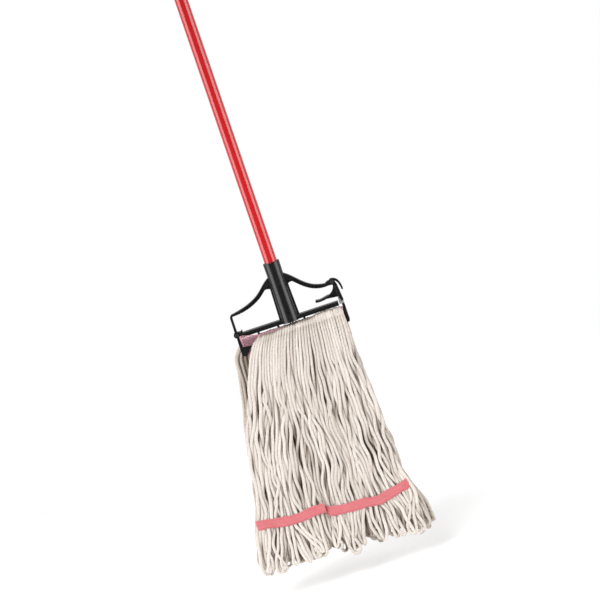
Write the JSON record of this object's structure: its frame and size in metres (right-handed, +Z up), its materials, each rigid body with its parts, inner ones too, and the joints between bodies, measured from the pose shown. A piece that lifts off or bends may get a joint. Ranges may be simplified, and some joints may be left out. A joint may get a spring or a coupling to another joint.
{
  "type": "string mop",
  "caption": "Looped-end cotton string mop with a long red tubular handle and a black quick-change frame: hinged lower gate, sprung latch lever and stitched tail bands.",
  "frame": {"origin": "centre of the hanging hole in the cap at the top of the handle", "axes": "+Z up along the handle, towards its hanging end; +X along the crossbar towards the latch; +Y to the back of the mop, along the hanging hole"},
  "size_m": [0.3495, 0.056, 2.0335],
  "materials": {
    "red_steel": "glossy powder coat",
    "black_plastic": "satin moulded polypropylene",
    "plug_plastic": "plain moulding",
    "pin_plastic": "smooth moulding",
    "plain_steel": "zinc plated",
    "spring_steel": "drawn wire",
    "grey_plastic": "satin moulding",
    "pink_mesh": "woven mesh",
    "pink_tape": "woven tape",
    "cotton_yarn": "twisted four-ply cotton"
  },
  "bodies": {
    "frame": {"handle_tube": "red_steel", "hanger_cap": "black_plastic", "handle_plug": "plug_plastic", "handle_screw": "plain_steel", "yoke_frame": "black_plastic", "hinge_pin": "pin_plastic", "hinge_pin_ring": "plain_steel", "latch_pin": "pin_plastic", "latch_pin_ring": "plain_steel", "latch_spring": "spring_steel"},
    "gate": {"gate_bar": "black_plastic", "gate_catch": "grey_plastic", "headband": "pink_mesh", "tail_band_front": "pink_tape", "tail_band_back": "pink_tape", "yarn_front_1": "cotton_yarn", "yarn_front_2": "cotton_yarn", "yarn_front_3": "cotton_yarn", "yarn_front_4": "cotton_yarn", "yarn_front_5": "cotton_yarn", "yarn_front_6": "cotton_yarn", "yarn_back_1": "cotton_yarn", "yarn_back_2": "cotton_yarn", "yarn_back_3": "cotton_yarn", "yarn_back_4": "cotton_yarn", "yarn_back_5": "cotton_yarn", "yarn_back_6": "cotton_yarn"},
    "latch": {"latch_lever": "black_plastic"}
  },
  "joints": [
    {"name": "gate_hinge", "type": "hinge", "parent": "frame", "child": "gate", "pos_m": [-0.1095, 0, -1.5355], "axis": [0, 1, 0], "range_deg": [0, 45], "deforming": ["gate_catch"]},
    {"name": "latch_pivot", "type": "hinge", "parent": "frame", "child": "latch", "pos_m": [0.1005, 0, -1.4935], "axis": [0, -1, 0], "range_deg": [0, 11], "stiffness_Nm_per_rad": 0.3, "springref_deg": -22.92, "deforming": ["latch_spring"]}
  ]
}
